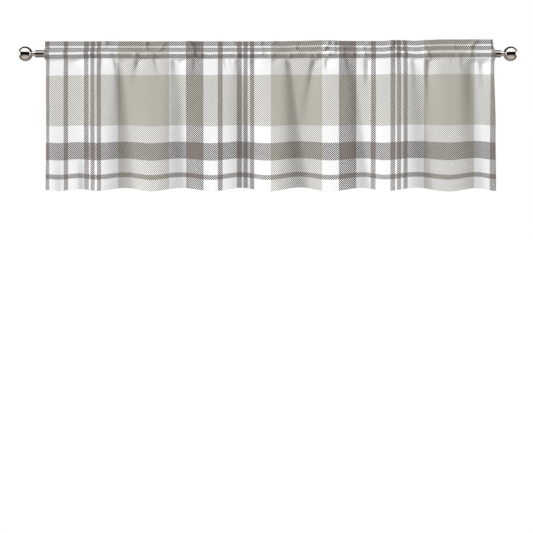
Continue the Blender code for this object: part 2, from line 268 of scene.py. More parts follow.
# Small pleats where the pocket and the header are bunched on the rod
Pucker = namedtuple("Pucker", "x height sway")
PUCKER_WIDTH = 0.011
PUCKER_AT_BACK = 0.6
SWAY_WIDTH = 0.0176
PUCKERS = [
    Pucker(-0.566, 0.0016, 0.0016),
    Pucker(-0.492, 0.0020, -0.0020),
    Pucker(-0.366, 0.0022, 0.0022),
    Pucker(-0.234, 0.0022, -0.0024),
    Pucker(-0.110, 0.0022, 0.0020),
    Pucker(0.018, 0.0018, -0.0018),
    Pucker(0.092, 0.0020, 0.0020),
    Pucker(0.190, 0.0020, -0.0022),
    Pucker(0.302, 0.0024, 0.0024),
    Pucker(0.384, 0.0018, -0.0018),
    Pucker(0.486, 0.0022, 0.0022),
    Pucker(0.634, 0.0022, -0.0022),
]

# Sharp little pleats standing in the header and the pocket, each steep on its right
Pleat = namedtuple("Pleat", "x_top x_bottom top bottom height")
PLEAT_WIDTH = 0.0040
PLEAT_EASE = 2.0
PLEAT_SHIFT = 0.7 * PLEAT_WIDTH
PLEAT_FADE = 0.4
PLEAT_REACH_AT_SEAM = 0.003
PLEAT_REACH_BEHIND = 0.08
PLEATS = [
    Pleat(-0.535, -0.536, 0.004, -0.012, 0.0026),
    Pleat(-0.502, -0.505, 0.021, -0.004, 0.0022),
    Pleat(-0.490, -0.494, 0.039, 0.027, 0.0045),
    Pleat(-0.477, -0.476, 0.004, -0.013, 0.0022),
    Pleat(-0.399, -0.401, 0.001, -0.014, 0.0054),
    Pleat(-0.366, -0.373, 0.039, 0.024, 0.0042),
    Pleat(-0.369, -0.370, 0.021, 0.010, 0.0038),
    Pleat(-0.349, -0.345, 0.000, -0.014, 0.0032),
    Pleat(-0.306, -0.322, 0.038, 0.025, 0.0035),
    Pleat(-0.320, -0.330, 0.020, 0.008, 0.0045),
    Pleat(-0.238, -0.225, 0.039, 0.021, 0.0048),
    Pleat(-0.225, -0.222, 0.020, -0.010, 0.0035),
    Pleat(-0.200, -0.201, 0.002, -0.014, 0.0042),
    Pleat(-0.118, -0.126, 0.018, 0.008, 0.0032),
    Pleat(-0.102, -0.098, 0.039, 0.025, 0.0038),
    Pleat(-0.085, -0.089, 0.003, -0.014, 0.0038),
    Pleat(-0.049, -0.049, 0.010, -0.012, 0.0026),
    Pleat(-0.015, -0.021, 0.039, 0.025, 0.0038),
    Pleat(-0.014, -0.015, 0.020, -0.006, 0.0024),
    Pleat(0.028, 0.018, 0.039, 0.029, 0.0032),
    Pleat(0.018, 0.013, 0.000, -0.014, 0.0032),
    Pleat(0.041, 0.040, 0.022, 0.006, 0.0026),
    Pleat(0.073, 0.068, -0.002, -0.014, 0.0032),
    Pleat(0.088, 0.089, 0.023, 0.010, 0.0038),
    Pleat(0.095, 0.092, 0.039, 0.029, 0.0029),
    Pleat(0.135, 0.131, -0.002, -0.014, 0.0032),
    Pleat(0.153, 0.153, 0.000, -0.014, 0.0038),
    Pleat(0.182, 0.174, 0.023, 0.008, 0.0051),
    Pleat(0.188, 0.187, 0.039, 0.028, 0.0048),
    Pleat(0.188, 0.187, 0.000, -0.010, 0.0035),
    Pleat(0.207, 0.207, 0.039, 0.027, 0.0045),
    Pleat(0.207, 0.206, 0.018, 0.002, 0.0029),
    Pleat(0.234, 0.232, 0.022, -0.010, 0.0029),
    Pleat(0.264, 0.264, 0.002, -0.012, 0.0029),
    Pleat(0.318, 0.306, 0.039, 0.030, 0.0038),
    Pleat(0.296, 0.295, 0.022, 0.006, 0.0038),
    Pleat(0.298, 0.297, 0.003, -0.014, 0.0045),
    Pleat(0.386, 0.386, 0.040, 0.025, 0.0045),
    Pleat(0.401, 0.392, 0.021, -0.010, 0.0029),
    Pleat(0.422, 0.425, 0.006, -0.014, 0.0035),
    Pleat(0.447, 0.456, 0.021, 0.009, 0.0024),
    Pleat(0.484, 0.493, 0.024, -0.010, 0.0032),
    Pleat(0.493, 0.505, 0.042, 0.027, 0.0048),
    Pleat(0.569, 0.578, 0.030, 0.008, 0.0026),
    Pleat(0.584, 0.590, -0.004, -0.014, 0.0038),
    Pleat(0.643, 0.624, 0.041, 0.024, 0.0051),
    Pleat(0.624, 0.621, 0.023, -0.010, 0.0038),
]

# Slow unevenness of the hanging cloth
Ripple = namedtuple("Ripple", "span lengthwise seed height")
RIPPLES = [
    Ripple(0.045, 2.6, 3.1, 0.0004),
    Ripple(0.110, 2.2, 8.7, 0.0008),
]
RIPPLE_REACH = 0.05

# Sewing: rows of lockstitch along the seams and hems
STITCH_LENGTH = 0.0024
STITCH_PITCH = 0.0030
THREAD_WIDTH = 0.00038
STITCH_SINK = 0.00025
STITCH_LIFT = 0.00016
SIDE_SEAM_INSET = 0.0100
HEM_SEAM_RISE = 0.0085
SEAM_END_GAP = 0.0015

# Mesh divisions
MAIN_COLUMNS = 500
DENSITY_SAMPLES = 3000
PLEAT_CROWDING = 2.2
PLEAT_CROWD_WIDTH = 1.6 * PLEAT_WIDTH
CREASE_CROWDING = 1.1
WRAP_INSETS = (0.0120, 0.0117, 0.0080, 0.0045, 0.0015)
EDGE_TURNS = (0.75, 0.5, 0.25)
EDGE_TURN_STRETCH = 1.5

# Printed plaid: stripes in threads, the same across and down
THREAD = 0.0016225
SETT = [
    ("taupe", 8), ("white", 4), ("taupe", 8), ("white", 4), ("taupe", 8), ("white", 32),
    ("beige", 96), ("white", 32), ("taupe", 32), ("white", 28), ("taupe", 8), ("white", 28),
]
SETT_THREADS = sum(count for name, count in SETT)
SETT_START_X = -0.5621
CHECK_SIZE = 0.003058
CHECK_START = 0.00264
CHECK_COVER = -0.035
CHECK_COVER_BY_DEPTH = 0.20
DEPTH_OF_INK = {"white": 0.0, "beige": 0.5, "taupe": 1.0}
LEAST_INK_STEP = 0.2
SOLID_INKS = {
    "white": (0.880, 0.880, 0.885, 1.0),
    "beige": (0.455, 0.433, 0.377, 1.0),
    "taupe": (0.211, 0.182, 0.167, 1.0),
}
CHECK_DARKS = {
    "white": (0.880, 0.880, 0.885, 1.0),
    "beige": (0.373, 0.355, 0.309, 1.0),
    "taupe": (0.090, 0.078, 0.072, 1.0),
}
CHECK_LIGHTS = {
    "white": (0.900, 0.900, 0.905, 1.0),
    "beige": (0.590, 0.561, 0.489, 1.0),
    "taupe": (0.211, 0.182, 0.167, 1.0),
}

# How far the print drifts sideways, and how far it sags on the pocket and below it
Drift = namedtuple("Drift", "x shift")
PRINT_DRIFT = [
    Drift(-0.622, -0.0040),
    Drift(-0.612, -0.0055),
    Drift(-0.562, -0.0003),
    Drift(-0.460, -0.0010),
    Drift(-0.300, -0.0010),
    Drift(-0.150, 0.0000),
    Drift(0.165, -0.0008),
    Drift(0.270, -0.0003),
    Drift(0.315, 0.0010),
    Drift(0.376, 0.0016),
    Drift(0.425, 0.0005),
    Drift(0.475, 0.0009),
    Drift(0.630, -0.0008),
    Drift(0.680, -0.0028),
]
PRINT_SAG = [
    Drift(-0.690, 0.0026),
    Drift(-0.600, 0.0018),
    Drift(-0.530, 0.0000),
    Drift(-0.430, 0.0000),
    Drift(-0.385, 0.0019),
    Drift(-0.340, 0.0011),
    Drift(-0.290, 0.0000),
    Drift(-0.210, 0.0004),
    Drift(-0.180, 0.0018),
    Drift(-0.130, 0.0002),
    Drift(0.050, 0.0004),
    Drift(0.100, 0.0010),
    Drift(0.180, 0.0025),
    Drift(0.240, 0.0003),
    Drift(0.310, 0.0004),
    Drift(0.430, 0.0010),
    Drift(0.500, 0.0027),
    Drift(0.690, 0.0022),
]
PRINT_SAG_TOP = 0.012
PRINT_SAG_REACH = 0.016
PRINT_SAG_END = 0.24
PRINT_STRETCH = 1.009
PRINT_RISE_AT_HEM = 0.2
POCKET_SLACK = 0.0016
POCKET_SLACK_REACH = 0.010
LENGTH_TO_SEAM = HEADER_TOP - POCKET_BOTTOM
SKIRT_LENGTH = (POCKET_BOTTOM - HEM_BOTTOM) * PRINT_STRETCH

# Weave, and the unprinted side
WEAVE_PITCH = 0.00055
WEAVE_DEPTH = 0.00006
WEAVE_STRENGTH = 0.35
SLUB_SCALE = 900.0
SLUB_SHARE = 0.8
WRONG_SIDE_COLOUR = (0.80, 0.79, 0.77, 1.0)
WRONG_SIDE_VEIL = 0.62

# Light
SUN_TOWARDS = (0.83, 0.46, -0.31)
SUN_STRENGTH = 3.10
SUN_ANGLE = 0.35
AMBIENT = 0.49
AMBIENT_BEHIND = 0.92
AMBIENT_BEHIND_FROM = 0.35
FLOOR_HEIGHT = -3.50
FLOOR_RADIUS = 5.0
FLOOR_COLOUR = (0.88, 0.88, 0.87, 1.0)

# The studio that the metal mirrors, as (height, colour) from straight down, 0, to straight up, 1
ROOM_FRONT = [
    (0.00, (0.56, 0.52, 0.48, 1.0)),
    (0.06, (0.62, 0.57, 0.53, 1.0)),
    (0.16, (0.54, 0.50, 0.46, 1.0)),
    (0.27, (0.20, 0.18, 0.17, 1.0)),
    (0.37, (0.00, 0.00, 0.00, 1.0)),
    (0.66, (0.00, 0.00, 0.00, 1.0)),
    (0.75, (1.35, 1.34, 1.33, 1.0)),
    (1.00, (1.35, 1.34, 1.33, 1.0)),
]
ROOM_BACK = [
    (0.00, (0.36, 0.33, 0.30, 1.0)),
    (0.15, (0.24, 0.22, 0.20, 1.0)),
    (0.40, (0.20, 0.18, 0.17, 1.0)),
    (0.50, (0.01, 0.01, 0.01, 1.0)),
    (1.00, (0.00, 0.00, 0.00, 1.0)),
]
ROOM_SIDES = [
    (0.00, (0.20, 0.18, 0.17, 1.0)),
    (0.36, (0.08, 0.07, 0.07, 1.0)),
    (0.42, (1.30, 1.29, 1.28, 1.0)),
    (0.66, (1.30, 1.29, 1.28, 1.0)),
    (0.72, (0.00, 0.00, 0.00, 1.0)),
    (1.00, (0.00, 0.00, 0.00, 1.0)),
]
ROOM_BACK_FROM = 0.06
ROOM_SIDES_FROM = 0.89
ROOM_SIDES_TURN = 0.39


def blend(low, high, share):
    return low + (high - low) * share


def smooth(share):
    """A soft step from 0 to 1."""
    return 0.5 - 0.5 * np.cos(np.pi * np.clip(share, 0.0, 1.0))


def hump(distance, width):
    return np.exp(-((distance / width) ** 2))


# Shape of the hanging cloth


def edge_places(height):
    """The x of the left and right edges of the cloth at each height."""
    height = np.asarray(height, float)
    left = np.full(height.shape, EDGES[0].left)
    right = np.full(height.shape, EDGES[0].right)
    for upper, lower in zip(EDGES, EDGES[1:]):
        share = smooth((upper.height - height) / (upper.height - lower.height))
        left += (lower.left - upper.left) * share
        right += (lower.right - upper.right) * share
    return left, right


def fold_forward(x, down):
    """Forward reach of the hanging folds, where down runs from the seam, 0, to the hem, 1."""
    forward = np.full(x.shape, FOLDS[0].forward)
    for before, after in zip(FOLDS, FOLDS[1:]):
        start = blend(before.x_seam, before.x_hem, down ** FOLD_SPREAD)
        end = blend(after.x_seam, after.x_hem, down ** FOLD_SPREAD)
        share = np.clip((x - start) / (end - start), 0.0, 1.0)
        step = after.forward - before.forward
        if step < 0.0:
            forward += step * smooth(share ** FOLD_SKEW)
        else:
            forward += step * blend(share, 1.0 - smooth((1.0 - share) ** FOLD_SKEW), RISE_ROUNDING)
    return forward


def trough(crease, x, away):
    """Depth of one crease at places, where away is the distance from the end it starts at."""
    run = away / crease.length
    offset = x - blend(crease.x_start, crease.x_end, run)
    width = crease.width * blend(CREASE_TOP_WIDTH, CREASE_END_WIDTH, min(run, 1.0))
    width = width * np.where(offset > 0.0, CREASE_EASE, 1.0)
    return crease.depth * (1.0 - smooth(run)) * hump(offset, width)


def crease_at(x, down):
    """How far the main creases push the cloth back."""
    depth = sum(trough(crease, x, down * HANGING) for crease in CREASES)
    return depth + sum(trough(crease, x, (1.0 - down) * HANGING) for crease in HEM_CREASES)


def gathers_at(x, down):
    """How far the fine gathers and the recesses under the pocket push the cloth back."""
    below = down * HANGING
    depth = sum(trough(crease, x, below) for crease in FINE_CREASES) * smooth(below / FINE_REACH)
    drawn = sum(recess.depth * hump(x - recess.x, recess.half) for recess in RECESSES)
    return depth + drawn * smooth(below / RECESS_DROP) * hump(below, 2.0 * RECESS_DROP)


def pucker_height(x):
    return sum(pucker.height * hump(x - pucker.x, PUCKER_WIDTH) for pucker in PUCKERS)


def header_sway(x):
    return sum(pucker.sway * hump(x - pucker.x, SWAY_WIDTH) for pucker in PUCKERS)


def pleat_height(x, height):
    """How far the small pleats stand forward, at places across and at their heights."""
    total = np.zeros(x.shape)
    for pleat in PLEATS:
        run = (pleat.top - height) / (pleat.top - pleat.bottom)
        offset = x - blend(pleat.x_top, pleat.x_bottom, run) + PLEAT_SHIFT
        width = PLEAT_WIDTH * np.where(offset < 0.0, PLEAT_EASE, 1.0)
        ends = smooth(run / PLEAT_FADE + 0.5) * smooth((1.0 - run) / PLEAT_FADE + 0.5)
        total += pleat.height * ends * hump(offset, width)
    return total


def ripple(x, height, wave):
    """Slow, smooth unevenness of the cloth, from -1 to 1."""
    across = x.ravel() / wave.span
    down = height.ravel() / (wave.span * wave.lengthwise)
    values = [noise.noise(Vector((u, v, wave.seed))) for u, v in zip(across, down)]
    return np.array(values).reshape(x.shape)


def side_share(inset):
    """1 where the side hem makes the cloth double, easing to 0 further in."""
    return 1.0 - smooth((inset - SIDE_HEM_WIDTH) / (0.5 * SIDE_HEM_WIDTH))


def along_table(table, x):
    """The value of a table of (x, value) rows at each x, eased between the rows."""
    value = np.full(np.shape(x), table[0][1])
    for before, after in zip(table, table[1:]):
        value += (after[1] - before[1]) * smooth((x - before[0]) / (after[0] - before[0]))
    return value


def print_offset(x, z, zone, down):
    """How far the print sits off an even grid: across, and up the cloth."""
    across = along_table(PRINT_DRIFT, x)
    up = along_table(HEADER_RISE, x) * blend(1.0, PRINT_RISE_AT_HEM, down)
    if zone in ("pocket_front", "skirt"):
        share = smooth((PRINT_SAG_TOP - z) / PRINT_SAG_REACH) * (1.0 - smooth(-z / PRINT_SAG_END))
        up = up - along_table(PRINT_SAG, x) * share
    return across, up


Row = namedtuple("Row", "zone share")


def rows_down_the_cloth():
    """The rows of the sheet, from the pocket's back edge over the header and down to the hem's flap."""
    rows = [Row("tail", share) for share in (0.0, 0.5)]
    rows += [Row("pocket_back", share) for share in np.linspace(0.0, 1.0, 11)]
    rows += [Row("header_back", share) for share in np.linspace(0.16, 0.94, 5)]
    rows += [Row("top", share) for share in np.linspace(0.0, 1.0, 4)]
    rows += [Row("header_front", share) for share in np.linspace(0.06, 0.86, 7)]
    rows += [Row("pocket_front", share) for share in np.linspace(0.0, 1.0, 17)]
    upper = [0.005, 0.012, 0.02, 0.03, 0.042, 0.056, 0.072, 0.09, 0.11, 0.132, 0.156, 0.182]
    lower = list(np.linspace(0.21, 0.96, 18))
    line = 1.0 - HEM_HEIGHT / HANGING
    hem = [line - HEM_GROOVE_WIDTH, line, line + HEM_GROOVE_WIDTH, 0.5 + 0.5 * line, 1.0]
    rows += [Row("skirt", share) for share in upper + lower + hem]
    rows += [Row("bottom", share) for share in (0.25, 0.5, 0.75)]
    rows += [Row("flap", share) for share in (0.0, 0.35, 0.7, 0.97, 1.0)]
    return rows


def pocket_path(share, side):
    """Angle from straight up, and distance from the rod's axis, of a place on the pocket's path."""
    radius = ROD_DIAMETER / 2.0 + 2.0 * CLEARANCE
    seam_reach = math.hypot(SEAM_FORWARD, POCKET_SEAM)
    end = math.pi + side * math.atan2(SEAM_FORWARD, -POCKET_SEAM)
    leave_top = math.acos(radius / HEADER_SEAM)
    leave_bottom = end - math.acos(radius / seam_reach)
    angle = end * share
    bent = min(max(angle, leave_top), leave_bottom)
    return angle, radius / math.cos(angle - bent)


def skirt_place(x, down):
    """The folds of the skirt's front: y and z at places across, a share of the way down."""
    below = down * HANGING
    out = smooth(below / BILLOW_REACH)
    depth = blend(FOLD_AT_SEAM, 1.0, down ** FOLD_GROWTH)
    hang = blend(SEAM_FORWARD, 0.0, smooth(down))
    billow = along_table(BILLOWS, x) * (1.0 - smooth(down))
    y = -hang - out * (billow + fold_forward(x, down) * depth - crease_at(x, down))
    y = y + gathers_at(x, down)
    groove = (down - 1.0) * HANGING + HEM_HEIGHT
    y = y + HEM_GROOVE * hump(groove, HEM_GROOVE_WIDTH / 3.0)
    z = blend(POCKET_BOTTOM, HEM_BOTTOM, down)
    z = z - along_table(HEM_WAVE, x) * down ** DROP_GROWTH
    return y, z


# Each zone's place gives y, z, the way into the cloth as (y, z), and the print's length from the top


def seam_half(side):
    """Half the thickness at the pocket's seams."""
    return blend(SEAM_HALF, HEMMED_HALF, side)


def header_half(side):
    return blend(HEADER_HALF, HEMMED_HALF, side)


def hem_flap(side):
    """The depth of the bottom hem, which is double where it meets a side hem."""
    return LAYER + (LAYER + LAYER_GAP) * side


def tail_place(share, x, side):
    """The turned edge that hangs behind the pocket's seam."""
    y = seam_half(side) - SEAM_FORWARD + TAIL_LEAN * (1.0 - share)
    z = np.full(x.shape, POCKET_BOTTOM - TAIL * (1.0 - share))
    return y, z, -1.0, 0.0, 2.0 * HEADER_TOP - z


def pocket_place(share, x, side, front):
    """The pocket's front or back, round the rod."""
    outward = -1.0 if front else 1.0
    angle, reach = pocket_path(share if front else 1.0 - share, outward)
    sine = math.sin(angle)
    cosine = math.cos(angle)
    over = 0.5 * LAYER * side + pucker_height(x) * (1.0 if front else PUCKER_AT_BACK)
    reach = reach + POCKET_OVER_ROD + over * sine ** 2
    y = outward * (reach * sine + seam_half(side) * cosine ** 4)
    z = reach * cosine
    if front:
        pleated = smooth((z - POCKET_SEAM) / PLEAT_REACH_AT_SEAM)
    else:
        pleated = smooth((share - 1.0) / PLEAT_REACH_BEHIND + 1.0)
    y = y - pleat_height(x, z) * pleated
    length = outward * (z - HEADER_TOP) - POCKET_SLACK * hump(z - 0.5 * HEADER_SEAM, POCKET_SLACK_REACH)
    return y, z, -outward * max(sine, 0.35), -cosine * sine, length


def header_place(share, x, side, front):
    """The header's front or back."""
    outward = -1.0 if front else 1.0
    up = 1.0 - share if front else share
    z = blend(HEADER_BOTTOM, HEADER_TOP - HEADER_HALF + along_table(HEADER_RISE, x), up)
    half = blend(seam_half(side), header_half(side), smooth(up * 2.0))
    y = header_sway(x) * up - pleat_height(x, z) + outward * half
    return y, z, -outward, 0.0, outward * (z - HEADER_TOP)


def top_place(share, x, side):
    """The header's folded top edge."""
    angle = math.pi * share
    rise = along_table(HEADER_RISE, x)
    y = header_sway(x) - pleat_height(x, HEADER_TOP + rise) + header_half(side) * math.cos(angle)
    z = HEADER_TOP - HEADER_HALF + HEADER_HALF * math.sin(angle) + rise
    return y, z, -math.cos(angle), -math.sin(angle), HEADER_HALF * (share - 0.5) - rise


def skirt_face(share, x, side):
    """The skirt's front, closing on the pocket's seam and lifting for the hem's turn."""
    y, z = skirt_place(x, share)
    y = y - seam_half(side) * (1.0 - smooth(share / SEAM_EASE))
    z = z + 0.5 * hem_flap(side) * smooth((share - 1.0) / HEM_EASE + 1.0)
    return y, z, 1.0, 0.0, np.full(x.shape, LENGTH_TO_SEAM + share * SKIRT_LENGTH)


def bottom_place(share, x, side):
    """The turn at the bottom of the hem."""
    turn = 0.5 * hem_flap(side)
    angle = math.pi * share
    y, z = skirt_place(x, 1.0)
    y = y + turn - turn * math.cos(angle)
    z = z + turn - turn * math.sin(angle)
    return y, z, math.cos(angle), math.sin(angle), LENGTH_TO_SEAM + SKIRT_LENGTH + turn * angle


def flap_place(share, x, side):
    """The turned-up edge behind the hem."""
    flap = hem_flap(side)
    turn = 0.5 * flap
    y, z = skirt_place(x, 1.0 - share * HEM_HEIGHT / (POCKET_BOTTOM - HEM_BOTTOM))
    length = LENGTH_TO_SEAM + SKIRT_LENGTH + math.pi * turn + share * HEM_HEIGHT
    return y + flap, z + turn, -1.0, 0.0, length


# The zones in the order of the sheet, each with the heights of its first and last row
Zone = namedtuple("Zone", "first last place")
ZONES = {
    "tail": Zone(POCKET_SEAM, POCKET_SEAM, tail_place),
    "pocket_back": Zone(POCKET_SEAM, HEADER_SEAM, partial(pocket_place, front=False)),
    "header_back": Zone(HEADER_SEAM, HEADER_TOP, partial(header_place, front=False)),
    "top": Zone(HEADER_TOP, HEADER_TOP, top_place),
    "header_front": Zone(HEADER_TOP, HEADER_SEAM, partial(header_place, front=True)),
    "pocket_front": Zone(HEADER_SEAM, POCKET_SEAM, partial(pocket_place, front=True)),
    "skirt": Zone(POCKET_SEAM, HEM_BOTTOM, skirt_face),
    "bottom": Zone(HEM_BOTTOM, HEM_BOTTOM, bottom_place),
    "flap": Zone(HEM_BOTTOM, HEM_BOTTOM + HEM_HEIGHT, flap_place),
}
ZONES_BEHIND = ("tail", "pocket_back", "header_back")


def row_height(zone, share):
    """The height of a row before its waves and folds, for the places of the side edges."""
    return blend(ZONES[zone].first, ZONES[zone].last, share)


def main_shares():
    """Places of the main columns across, 0 to 1, closer together beside the pleats and fine creases."""
    left, right = EDGES[-2].left, EDGES[-2].right
    x = np.linspace(left, right, DENSITY_SAMPLES)
    density = np.ones(x.shape)
    for pleat in PLEATS:
        middle = 0.5 * (pleat.x_top + pleat.x_bottom)
        density += PLEAT_CROWDING * hump(x - middle, PLEAT_CROWD_WIDTH)
    for crease in FINE_CREASES:
        density += CREASE_CROWDING * hump(x - crease.x_start, crease.width)
    count = np.cumsum(density) - density[0]
    return np.interp(np.linspace(0.0, count[-1], MAIN_COLUMNS), count, (x - left) / (right - left))


def column_layout():
    """Columns across the sheet: side, inset from its edge or share of the width, and depth behind."""
    columns = []
    turn = 0.5 * LAYER
    left = [("left", inset, LAYER) for inset in WRAP_INSETS]
    for share in EDGE_TURNS:
        angle = math.pi * share
        left.append(("left", turn - turn * math.sin(angle), turn - turn * math.cos(angle)))
    columns += left
    columns += [("main", share, 0.0) for share in main_shares()]
    columns += [("right", inset, depth) for side, inset, depth in reversed(left)]
    return columns


def column_places(columns, height):
    """The x, the inset from the nearer edge, and the print's x of every column at one height."""
    left, right = edge_places(height)
    turn = 0.5 * LAYER
    x = np.empty(len(columns))
    inset = np.empty(len(columns))
    print_x = np.empty(len(columns))
    for index, (side, value, depth) in enumerate(columns):
        if side == "main":
            x[index] = blend(left + turn, right - turn, value)
            inset[index] = min(x[index] - left, right - x[index])
            print_x[index] = x[index]
        else:
            edge, inwards = (left, 1.0) if side == "left" else (right, -1.0)
            x[index] = edge + inwards * value
            inset[index] = value
            around = value if depth == LAYER else EDGE_TURN_STRETCH * depth - turn
            print_x[index] = edge - inwards * around
    return x, inset, print_x


def cloth_grid():
    """Points of the whole sheet, row by row, with the places of its print and of its checks."""
    rows = rows_down_the_cloth()
    columns = column_layout()
    depth = np.array([column[2] for column in columns])
    points = np.empty((len(rows), len(columns), 3))
    prints = np.empty((len(rows), len(columns), 2))
    checks = np.empty((len(rows), len(columns), 2))
    for index, row in enumerate(rows):
        x, inset, print_x = column_places(columns, row_height(row.zone, row.share))
        y, z, inward_y, inward_z, length = ZONES[row.zone].place(row.share, x, side_share(inset))
        points[index, :, 0] = x
        points[index, :, 1] = y + inward_y * depth
        points[index, :, 2] = z + inward_z * depth
        down = row.share if row.zone == "skirt" else float(row.zone in ("bottom", "flap"))
        across, up = print_offset(x, z, row.zone, down)
        prints[index, :, 0] = print_x - across
        prints[index, :, 1] = length + up
        away = -1.0 if row.zone in ZONES_BEHIND else 1.0
        checks[index, :, 0] = print_x
        checks[index, :, 1] = (HEADER_TOP - z) * away - CHECK_START
    return points, {"print": prints, "checks": checks}


def add_unevenness(points):
    """Small, slow waves on the hanging part, so that no stretch is quite smooth."""
    x = points[:, :, 0]
    z = points[:, :, 2]
    waves = sum(wave.height * ripple(x, z, wave) for wave in RIPPLES)
    points[:, :, 1] += smooth((POCKET_SEAM - z) / RIPPLE_REACH) * waves


def grid_mesh(name, points, layers):
    row_count, column_count = points.shape[:2]
    index = np.arange(row_count * column_count).reshape(row_count, column_count)
    corners = np.stack([index[:-1, :-1], index[1:, :-1], index[1:, 1:], index[:-1, 1:]], axis=-1)
    faces = corners.reshape(-1, 4)
    mesh = bpy.data.meshes.new(name)
    mesh.from_pydata(points.reshape(-1, 3).tolist(), [], faces.tolist())
    for layer_name, places in layers.items():
        layer = mesh.uv_layers.new(name=layer_name)
        layer.data.foreach_set("uv", places.reshape(-1, 2)[faces.ravel()].astype(np.float32).ravel())
    mesh.shade_smooth()
    return mesh


def build_cloth(face_material, back_material):
    points, layers = cloth_grid()
    add_unevenness(points)
    mesh = grid_mesh("valance_cloth", points, layers)
    cloth = bpy.data.objects.new("valance_cloth", mesh)
    bpy.context.scene.collection.objects.link(cloth)
    mesh.materials.append(face_material)
    mesh.materials.append(back_material)
    body = cloth.modifiers.new("thickness", "SOLIDIFY")
    body.thickness = CLOTH
    body.offset = -1.0
    body.material_offset = 1
    body.material_offset_rim = 1
    return cloth


# Sewing


def seam_points(zone, share, x, depth=0.0):
    """Points on the cloth's face along a row, at places across, or as far behind it as depth says."""
    left, right = edge_places(row_height(zone, share))
    side = side_share(np.minimum(x - left, right - x))
    y, z, inward_y, inward_z, length = ZONES[zone].place(share, x, side)
    points = np.stack([x, y + inward_y * depth, z + inward_z * depth], axis=-1)[np.newaxis]
    add_unevenness(points)
    return points[0]


def row_of_stitches(zone, share, outward):
    """Both ends of every stitch in a seam that runs across the cloth."""
    left, right = edge_places(row_height(zone, share))
    last_start = float(right) - SEAM_END_GAP - STITCH_LENGTH
    starts = np.arange(float(left) + SEAM_END_GAP, last_start, STITCH_PITCH)
    first = seam_points(zone, share, starts)
    last = seam_points(zone, share, starts + STITCH_LENGTH)
    return first, last, (0.0, outward, 0.0)


def side_stitches(side, behind):
    """Both ends of every stitch down one side hem, on the face or on the turned edge behind it."""
    starts = np.arange(STITCH_PITCH, HANGING - HEM_SEAM_RISE - STITCH_LENGTH, STITCH_PITCH)
    first = [side_seam_point(side, behind, start / HANGING) for start in starts]
    last = [side_seam_point(side, behind, (start + STITCH_LENGTH) / HANGING) for start in starts]
    return np.array(first), np.array(last), (0.0, 1.0 if behind else -1.0, 0.0)


def side_seam_point(side, behind, down):
    left, right = edge_places(row_height("skirt", down))
    x = left + SIDE_SEAM_INSET if side == "left" else right - SIDE_SEAM_INSET
    return seam_points("skirt", down, np.array([float(x)]), LAYER if behind else 0.0)[0]


def stitch_mesh(seams):
    """All the stitches as one mesh: slim lozenges whose ends sink into the cloth."""
    vertices = []
    faces = []
    for first, last, outward in seams:
        up = np.array(outward)
        for start, end in zip(first, last):
            along = (end - start) / np.linalg.norm(end - start)
            across = np.cross(along, up)
            base = len(vertices)
            vertices.append(start - up * STITCH_SINK)
            for share in (0.25, 0.75):
                middle = blend(start, end, share)
                vertices.append(middle + across * THREAD_WIDTH / 2.0)
                vertices.append(middle + up * STITCH_LIFT)
                vertices.append(middle - across * THREAD_WIDTH / 2.0)
                vertices.append(middle - up * STITCH_SINK)
            vertices.append(end - up * STITCH_SINK)
            for corner in range(4):
                following = (corner + 1) % 4
                near = (base + 1 + corner, base + 1 + following)
                far = (base + 5 + corner, base + 5 + following)
                faces.append((base,) + near)
                faces.append((near[0], far[0], far[1], near[1]))
                faces.append((far[0], base + 9, far[1]))
    mesh = bpy.data.meshes.new("valance_stitches")
    mesh.from_pydata([tuple(vertex) for vertex in vertices], [], faces)
    mesh.shade_smooth()
    return mesh


def build_stitches(material):
    """Lockstitch on both sides of the header's seam, the pocket's seam and the hems."""
    hem_line = 1.0 - HEM_SEAM_RISE / HANGING
    seams = [
        row_of_stitches("header_front", 0.97, -1.0),
        row_of_stitches("header_back", 0.03, 1.0),
        row_of_stitches("skirt", 0.0, -1.0),
        row_of_stitches("tail", 0.8, 1.0),
        row_of_stitches("skirt", hem_line, -1.0),
        row_of_stitches("flap", HEM_SEAM_RISE / HEM_HEIGHT, 1.0),
    ]
    for side in ("left", "right"):
        for behind in (False, True):
            seams.append(side_stitches(side, behind))
    mesh = stitch_mesh(seams)
    mesh.materials.append(material)
    stitches = bpy.data.objects.new("valance_stitches", mesh)
    bpy.context.scene.collection.objects.link(stitches)
    return stitches


# Materials


def new_material(name):
    material = bpy.data.materials.new(name)
    material.use_nodes = True
    tree = material.node_tree
    return material, tree, tree.nodes["Principled BSDF"]


def math_node(tree, operation, first, second=None, third=None):
    """A math node on numbers or other outputs."""
    node = tree.nodes.new("ShaderNodeMath")
    node.operation = operation
    for socket, value in zip(node.inputs, (first, second, third)):
        if value is None:
            continue
        if isinstance(value, (int, float)):
            socket.default_value = value
        else:
            tree.links.new(value, socket)
    return node.outputs[0]


def sett_ramp(tree, place, colours):
    """Stripe colours along a place counted in whole repeats of the sett."""
    ramp = tree.nodes.new("ShaderNodeValToRGB")
    ramp.color_ramp.interpolation = "CONSTANT"
    stops = []
    start = 0
    for name, threads in SETT:
        stops.append((start / SETT_THREADS, colours(name)))
        start += threads
    fill_ramp(ramp, stops)
    tree.links.new(place, ramp.inputs["Fac"])
    return ramp.outputs["Color"]


def mix_colour(tree, share, first, second):
    node = tree.nodes.new("ShaderNodeMix")
    node.data_type = "RGBA"
    for name, value in (("Factor", share), ("A", first), ("B", second)):
        socket = next(s for s in node.inputs if s.name == name and s.enabled)
        if isinstance(value, (int, float, tuple)):
            socket.default_value = value
        else:
            tree.links.new(value, socket)
    return next(s for s in node.outputs if s.enabled)


